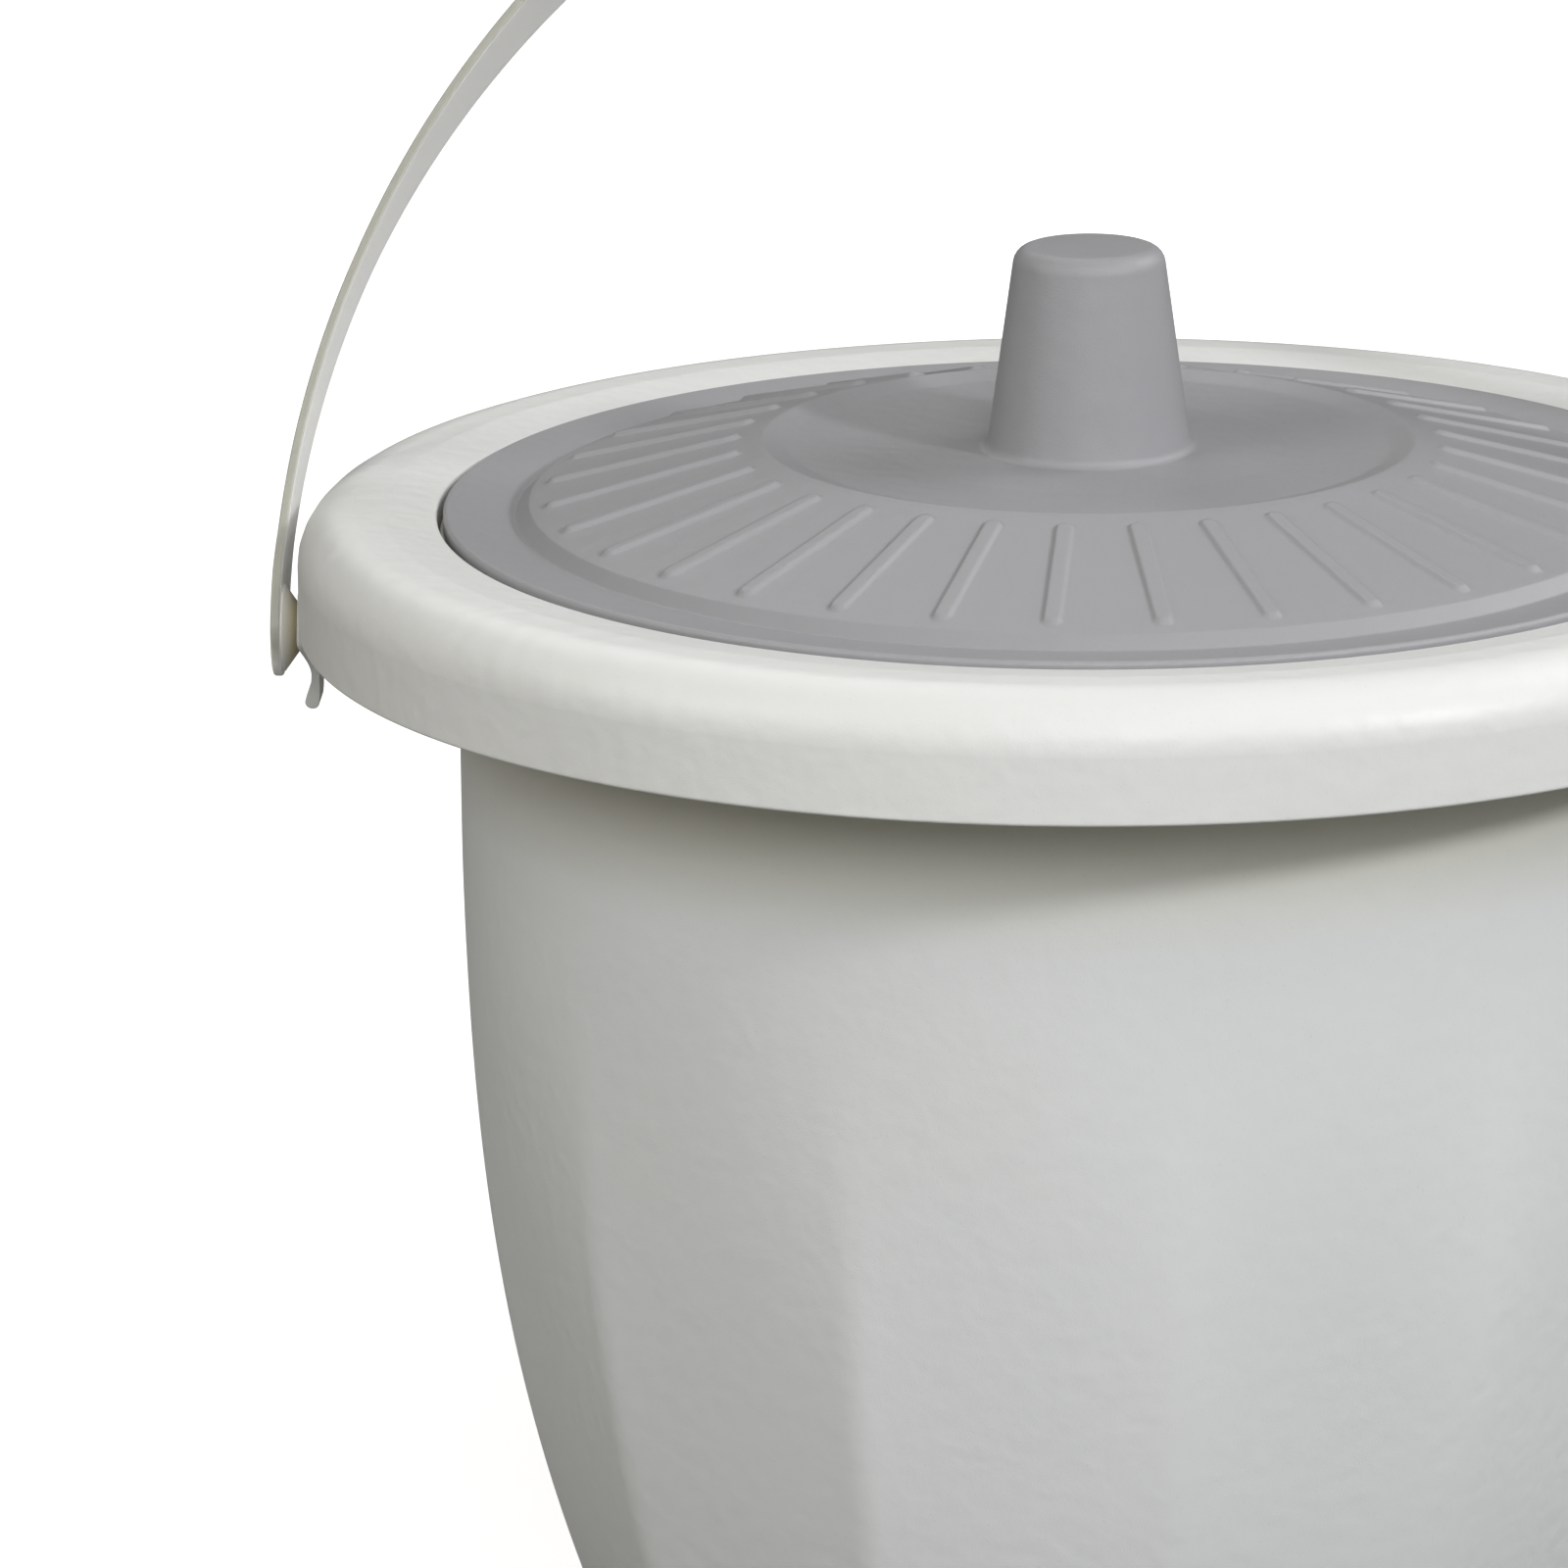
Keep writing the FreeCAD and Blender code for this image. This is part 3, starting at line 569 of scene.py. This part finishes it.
def boss_shell():
    """The boss between skirt and handle, turned about X."""
    s = sizes()
    boss = rounded_path([
        (0, 0, 0), (6.2, 0, 0), (6.2, 1, 0.1), (4, 2.4, 1), (4, 4.9, 0.3), (0, 4.9, 0)],
        5, support=0.2) * MM
    points = turned_about_pivot(s.strap_span - 0.0073 + boss[:, 1:2], boss[:, :1], 48)
    return points, grid_faces(len(boss), 48)


def pivot_plastic_with_painted_shade():
    """White plastic with painted shade, darker and browner towards the gap between the handle and the
    skirt.
    """
    s = sizes()
    return moulded_plastic(
        "pivot_plastic", finishes().handle_colour, 0.4, 0.00003, 0.0001,
        painted_shade=(0, s.strap_span - 0.0018, s.strap_span - 0.0045, (0.62, 0.55, 0.38, 1)))


def both_hands(*shells):
    """Shells at the right, and their mirror images at the left."""
    flip = np.array([-1, 1, 1])
    return list(shells) + [(points * flip, faces) for points, faces in shells]


class SLOPJAR_OT_brim(bpy.types.Operator):
    """Build the brim ring with its two lugs and pivot bosses"""

    bl_idname = "slopjar.brim"
    bl_label = "Brim ring"

    def execute(self, context):
        finish = moulded_plastic(
            "brim_plastic", finishes().brim_colour, 0.42, 0.00003, 0.00022, warm=0.06)
        points, faces = turned(brim_profile(), 288)
        faces = grid_faces(len(points), 288, close_rows=True)
        brim = place(finish_mesh("brim", [(points, faces)]), "pail", "brim", "brim_ring")
        lugs = place(finish_mesh("brim_lugs", both_hands(lug_shell())), "pail", "brim")
        bosses = place(finish_mesh("brim_bosses", both_hands(boss_shell())), "pail", "brim")
        for piece in (brim, bevelled(lugs, 0.0005, 3, 50)):
            piece.data.materials.append(finish)
        bosses.data.materials.append(pivot_plastic_with_painted_shade())
        return {"FINISHED"}


# Lid


def lid_profile():
    """The lid's section from the knob's top out to the rim and back under to the axis, in mm."""
    s = sizes()
    top = s.lid_top / MM
    edge = s.lid_radius / MM
    seat = s.rim_height / MM + 0.3
    corners = [
        (0, top, 0), (14.9, top, 3.6), (20.6, top - 41.2, 1.8), (40, top - 41.5, 20),
        (60.5, top - 40.7, 8), (65.8, top - 39.2, 2.2), (113.2, top - 51.4, 1.2), (116, top - 54.2, 0.9),
        (edge, seat + 4.3, 0.9), (edge, seat, 0.4), (124.6, seat, 0.4), (124.6, seat - 8.3, 0.4),
        (122.6, seat - 8.3, 0.4), (118, top - 56.2, 1), (111, top - 53, 1.2),
        (65.8, top - 41.2, 3), (54.5, top - 43.2, 7), (18.6, top - 43.2, 1), (12.9, top - 2, 2),
        (0, top - 2, 0)]
    return rounded_path(corners, 6)


def lid_rows():
    """The section with close rows over the ribs and at their ends, in mm."""
    line = lid_profile()
    top_side = np.arange(len(line)) < np.argmax(line[:, 0])
    cone = np.flatnonzero(top_side & (line[:, 0] > 66) & (line[:, 0] < 113))
    inner, outer = cone[0], cone[-1]
    first, last = line[inner], line[outer]
    radii = np.concatenate([
        np.linspace(68.3, 72.5, 9), np.linspace(74, 107, 12), np.linspace(108.3, 112, 8)])
    radii = radii[(radii > first[0] + 0.1) & (radii < last[0] - 0.1)]
    share = (radii - first[0]) / (last[0] - first[0])
    over = first + (last - first) * share[:, None]
    return spread(np.concatenate([line[:inner + 1], over, line[outer:]]), 5)


def build_lid():
    """Height = section + rib height * rib share.

    The rib share is a smooth step of how far a point lies inside a rib's outline, a long
    rounded bar 4.4 mm wide from 70.5 to 110.5 mm radius. The grid's columns follow the ribs'
    parallel sides: a column's angle is its distance from the rib's middle over the radius.
    """
    s = sizes()
    rows = lid_rows()
    pitch = 2 * math.pi / s.rib_count
    near = np.array([0, 0.8, 1.2, 1.5, 1.85, 2.2, 2.6])
    radius, height = rows[:, :1], rows[:, 1:2]
    held = np.clip(radius, 62, 118)
    beside = near[None, :] / held
    gap = (pitch / 2 - beside[:, -1:]) * np.array([[1 / 3, 2 / 3]]) + beside[:, -1:]
    right = np.concatenate([beside, gap], 1)
    left = -right[:, :0:-1]
    one = np.concatenate([left, right, np.full((len(rows), 1), pitch / 2)], 1)
    across = one[:, None, :] * held[:, :, None]
    columns = one.shape[1]
    turn = (np.arange(s.rib_count) * pitch)[None, :, None]
    angle = one[:, None, :] + turn + s.rib_turn + pitch / 2 - math.pi / 2
    ends = np.maximum(np.maximum(72.7 - radius, radius - 108.3), 0)[:, :, None]
    away = np.hypot(across, ends)
    raised = smooth_step((2.35 - away) / 1.25)
    upper = np.zeros_like(radius)
    upper[:np.argmax(rows[:, 0]) + 1] = 1
    lift = s.rib_height / MM * raised * upper[:, :, None] * (radius[:, :, None] < 114)
    points = np.stack(np.broadcast_arrays(
        radius[:, :, None] * np.cos(angle), radius[:, :, None] * np.sin(angle),
        height[:, :, None] + lift), -1) * MM
    points = points.reshape(len(rows), s.rib_count * columns, 3)
    return finish_mesh("lid_moulding", [(points, grid_faces(*points.shape[:2]))])


class SLOPJAR_OT_lid(bpy.types.Operator):
    """Build the lid: rim groove, ribbed cone, dish and hollow knob in one moulding"""

    bl_idname = "slopjar.lid"
    bl_label = "Lid"

    def execute(self, context):
        lid = place(build_lid(), "lid", "lid", "lid")
        lid.data.materials.append(moulded_plastic(
            "lid_plastic", finishes().lid_colour, 0.50, 0.00006, 0.00016, scuffs=0.8))
        return {"FINISHED"}


# Strap handle


def strap_line(along):
    """Outer line of the upright strap at a length from its pivot, and its outward normal.

    Below the pivot it is straight. Above it follows an arc of the side radius about a centre on
    the pivots' level, then the crown's arc about a centre on the axis, which touches the first.
    """
    s = sizes()
    span, rise, side = s.strap_span, s.strap_rise, s.strap_side
    crown = (2 * side * span - span ** 2 - rise ** 2) / (2 * (side - rise))
    side_centre = span - side
    crown_centre = rise - crown
    meet = math.atan2(crown_centre, -side_centre)
    first = side * meet
    turn = np.where(along < first, along / side, meet + (along - first) / crown)
    low = along < 0
    turn = np.where(low, 0, turn)
    on_side = along < first
    radius = np.where(on_side, side, crown)
    across = np.where(on_side, side_centre, 0) + radius * np.cos(turn)
    up = np.where(on_side, 0, crown_centre) + radius * np.sin(turn)
    up = np.where(low, along, up)
    return across, up, first + crown * (math.pi / 2 - meet)


def strap_half_width():
    """The strap's side outline from the middle of its end up to its grip, in mm."""
    corners = [
        (0, -9.8, 0), (9.8, -9.8, 9.7), (9.8, 9.8, 6), (7.25, 19.6, 20), (7.25, 80, 60),
        (11, 145, 60), (11, 200, 0)]
    return rounded_path(corners, 14, support=0.5)


def bend(across, along):
    """A flat point of the strap, across its width and along its length, bent into place."""
    s = sizes()
    x, up, _ = strap_line(along)
    lean = s.strap_lean
    return np.stack([
        x, across * math.cos(lean) + up * math.sin(lean),
        s.pivot_height - across * math.sin(lean) + up * math.cos(lean)], -1)


def build_strap():
    """Outer face of the strap as a bent flat pattern, then thickened inwards.

    The band is a grid across the width and along the line. Each end is a grid between the ring
    of its eye and the outline around it, whose top side is the band's last row.
    """
    s = sizes()
    outline = strap_half_width() * MM
    neck = 14 * MM
    eye = 4.26 * MM
    total = strap_line(np.array([0.0]))[2]
    along = np.concatenate([np.linspace(neck, 40 * MM, 14)[:-1], np.linspace(40 * MM, total, 90)])
    up = strap_line(along)[1]
    half = np.interp(up, outline[:, 1], outline[:, 0])
    half[0] = np.interp(neck, outline[:, 1], outline[:, 0])
    share = np.linspace(-1, 1, 9)
    band = bend(half[:, None] * share[None, :], along[:, None] + 0 * share[None, :])
    band_faces = grid_faces(len(along), 9, close_columns=False)
    side = outline[outline[:, 1] < neck]
    side = np.concatenate([side, [[np.interp(neck, outline[:, 1], outline[:, 0]), neck]]])
    steps_along = np.concatenate([[0], np.cumsum(np.linalg.norm(np.diff(side, axis=0), axis=1))])
    even = np.linspace(0, steps_along[-1], 27)
    side = np.stack([np.interp(even, steps_along, side[:, k]) for k in range(2)], 1)
    top = np.stack([-share * side[-1, 0], np.full(9, neck)], 1)
    mirrored = side[::-1] * np.array([-1, 1])
    ring = np.concatenate([side, top[1:-1], mirrored[:-1]])
    hole = ring / np.linalg.norm(ring, axis=1)[:, None] * eye
    parts = np.linspace(0, 1, 6)[:, None, None]
    flat = hole[None] * (1 - parts) + ring[None] * parts
    lobe = bend(flat[:, :, 0], flat[:, :, 1])
    lobe_faces = grid_faces(6, len(ring))
    piece = finish_mesh("strap", both_hands((band, band_faces), (lobe, lobe_faces)))
    crown = max(piece.data.polygons, key=lambda face: face.center.z)
    outward = Vector((0, math.sin(s.strap_lean), math.cos(s.strap_lean)))
    if crown.normal.dot(outward) < 0:
        piece.data.flip_normals()
    solid = piece.modifiers.new("thickness", "SOLIDIFY")
    solid.thickness = s.strap_thickness
    solid.offset = -1
    solid.use_even_offset = True
    return bevelled(piece, 0.00055, 3, 45)


def build_hubs():
    """Cones on the strap's inner side that hold it off the skirt, turned about X."""
    s = sizes()
    inner = (s.strap_span - s.strap_thickness) / MM
    cone = spread(rounded_path([
        (4.2, inner + 0.4, 0.05), (8.9, inner + 0.4, 0.05), (8.9, inner - 0.3, 0.5),
        (4.9, inner - 3.15, 0.4), (4.2, inner - 3.15, 0.1)], 4, closed=True, support=0.1), 1) * MM
    points = turned_about_pivot(cone[:, 1:2], cone[:, :1], 64)
    faces = grid_faces(len(cone), 64, close_rows=True)
    return finish_mesh("strap_hubs", both_hands((points, faces)))


class SLOPJAR_OT_handle(bpy.types.Operator):
    """Build the strap handle"""

    bl_idname = "slopjar.handle"
    bl_label = "Strap handle"

    def execute(self, context):
        strap = place(build_strap(), "handle", "handle", "strap_handle")
        hubs = place(build_hubs(), "handle", "handle")
        # Painted shade: the strap's side faces darker, through the edges axis.
        finish = moulded_plastic(
            "handle_plastic", finishes().handle_colour, 0.34, 0.00003, 0.0001, warm=0.05,
            edges=(0, math.cos(sizes().strap_lean), -math.sin(sizes().strap_lean)), through=0.6)
        strap.data.materials.append(finish)
        hubs.data.materials.append(pivot_plastic_with_painted_shade())
        return {"FINISHED"}


class SLOPJAR_OT_studs(bpy.types.Operator):
    """Give the two pivot studs their plastic"""

    bl_idname = "slopjar.studs"
    bl_label = "Pivot studs"

    def execute(self, context):
        finish = moulded_plastic(
            "stud_plastic", finishes().stud_colour, 0.38, 0.00003, 0.00008)
        for name in ("pivot_stud_right", "pivot_stud_left"):
            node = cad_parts[name]
            node.data.materials.clear()
            node.data.materials.append(finish)
        return {"FINISHED"}


# Stage


# Name, azimuth, elevation, size in metres, watts and tint of each soft light
LIGHTS = (
    ("right", 50, 27, 0.3, 26),
    ("front", 5, 28, 1.2, 25),
    ("high", 20, 62, 1.6, 11),
    ("left", -60, 30, 1.6, 22, (1, 0.97, 0.90)),
    ("side", 115, 35, 1.6, 28),
    ("back", 200, 45, 1.6, 11),
)


def add_light(name, azimuth, elevation, size, power, tint=(1, 1, 1)):
    """A round soft light 2.6 m from the brim: azimuth from the front to the right, in degrees."""
    data = bpy.data.lights.new(name, "AREA")
    data.shape = "DISK"
    data.size = size
    data.energy = power
    data.color = tint
    light = bpy.data.objects.new(name, data)
    bpy.context.scene.collection.objects.link(light)
    turn, rise = math.radians(azimuth), math.radians(elevation)
    towards = Vector((math.sin(turn) * math.cos(rise), -math.cos(turn) * math.cos(rise),
                      math.sin(rise)))
    light.location = Vector((0, 0, 0.22)) + towards * 2.6
    light.rotation_mode = "QUATERNION"
    light.rotation_quaternion = towards.to_track_quat("Z", "Y")


def add_camera():
    """The camera of the photograph: its place, its turn, pitch and roll, and its lens."""
    yaw, pitch, roll = 0.0355651, 0.267636, -0.0074041
    data = bpy.data.cameras.new("camera")
    data.lens = 9047.038 / 1600 * 36
    data.sensor_width = 36
    data.clip_end = 100
    camera = bpy.data.objects.new("camera", data)
    bpy.context.scene.collection.objects.link(camera)
    ahead = Vector((-math.sin(yaw) * math.cos(pitch), math.cos(yaw) * math.cos(pitch),
                    -math.sin(pitch)))
    right = Vector((math.cos(yaw), math.sin(yaw), 0))
    up = right.cross(ahead)
    turned_right = math.cos(roll) * right + math.sin(roll) * up
    turned_up = -math.sin(roll) * right + math.cos(roll) * up
    frame_of_view = Matrix((turned_right, turned_up, -ahead)).transposed().to_4x4()
    camera.matrix_world = Matrix.Translation((0, -1.7446, 0.6932)) @ frame_of_view
    bpy.context.scene.camera = camera


def add_floor():
    """A wide pale disc under the pail that keeps the pail's shadow and, for camera rays, glows near
    white.
    """
    angle = np.linspace(0, 2 * math.pi, 96, endpoint=False)
    radius = np.array([0, 0.5, 2, 8, 30])[:, None]
    points = np.stack(np.broadcast_arrays(
        radius * np.cos(angle), radius * np.sin(angle), 0 * radius), -1)
    floor = finish_mesh("floor", [(points, grid_faces(5, 96))], closed=False)
    if floor.data.polygons[0].normal.z < 0:
        floor.data.flip_normals()
    finish = Finish("floor_paper")
    seen = finish.node("LightPath")[0]
    grain = finish.noise(40, 2, 0.5)
    paper = mix_colour(finish, grain, (0.61, 0.61, 0.61, 1), (0.63, 0.63, 0.63, 1))
    tone = mix_colour(finish, seen, (0.2, 0.2, 0.195, 1), paper)
    # Painted light: for camera rays the floor glows, from 0.61 near the pail up to 1 from 1.8 m out.
    away = finish.node("VectorMath", {"operation": "LENGTH"}, finish.place())[0]
    lit = finish.ramp((away - 0.3) / 1.5, (0, 0.61), (1, 1))
    glow = mix_colour(finish, seen, (0, 0, 0, 1), lit)
    matt = finish.node("BsdfPrincipled", {}, Base_Color=tone, Roughness=0.9,
                       Emission_Color=glow, Emission_Strength=1.0)[0]
    finish.node("OutputMaterial", {}, matt)
    floor.data.materials.append(finish.material)


def add_world():
    """Soft light from all round; the background itself shows white."""
    world = bpy.data.worlds.new("studio")
    world.use_nodes = True
    tree = world.node_tree
    tree.nodes.clear()
    soft = tree.nodes.new("ShaderNodeBackground")
    soft.inputs["Color"].default_value = (1, 0.95, 0.8, 1)
    soft.inputs["Strength"].default_value = 0.08
    white = tree.nodes.new("ShaderNodeBackground")
    white.inputs["Color"].default_value = (1, 1, 1, 1)
    white.inputs["Strength"].default_value = 1.0
    path = tree.nodes.new("ShaderNodeLightPath")
    mix = tree.nodes.new("ShaderNodeMixShader")
    output = tree.nodes.new("ShaderNodeOutputWorld")
    tree.links.new(path.outputs["Is Camera Ray"], mix.inputs[0])
    tree.links.new(soft.outputs[0], mix.inputs[1])
    tree.links.new(white.outputs[0], mix.inputs[2])
    tree.links.new(mix.outputs[0], output.inputs[0])
    bpy.context.scene.world = world


class SLOPJAR_OT_stage(bpy.types.Operator):
    """Set up the floor, the soft studio light and the camera"""

    bl_idname = "slopjar.stage"
    bl_label = "Stage"

    def execute(self, context):
        add_floor()
        add_world()
        for light in LIGHTS:
            add_light(*light)
        add_camera()
        context.scene.view_settings.view_transform = "Standard"
        return {"FINISHED"}


class SLOPJAR_PT_panel(bpy.types.Panel):
    """Lists the pieces of the slop jar and their sizes"""

    bl_idname = "SLOPJAR_PT_panel"
    bl_label = "Slop Jar"
    bl_space_type = "VIEW_3D"
    bl_region_type = "UI"
    bl_category = "Slop Jar"

    def draw(self, context):
        for operator in OPERATORS:
            self.layout.operator(operator.bl_idname)
        for group in (context.scene.slop_jar_sizes, context.scene.slop_jar_finishes):
            box = self.layout.box()
            for name in group.__annotations__:
                box.prop(group, name)


OPERATORS = (
    SLOPJAR_OT_pail, SLOPJAR_OT_brim, SLOPJAR_OT_lid, SLOPJAR_OT_handle, SLOPJAR_OT_studs,
    SLOPJAR_OT_stage)
CLASSES = (SlopJarSizes, SlopJarFinishes) + OPERATORS + (SLOPJAR_PT_panel,)


def register():
    for made in CLASSES:
        bpy.utils.register_class(made)
    bpy.types.Scene.slop_jar_sizes = bpy.props.PointerProperty(type=SlopJarSizes)
    bpy.types.Scene.slop_jar_finishes = bpy.props.PointerProperty(type=SlopJarFinishes)


def unregister():
    del bpy.types.Scene.slop_jar_finishes
    del bpy.types.Scene.slop_jar_sizes
    for made in reversed(CLASSES):
        bpy.utils.unregister_class(made)


def main():
    """Make every piece in order."""
    register()
    for operator in OPERATORS:
        group, name = operator.bl_idname.split(".")
        getattr(getattr(bpy.ops, group), name)()


if __name__ == "__main__":
    main()
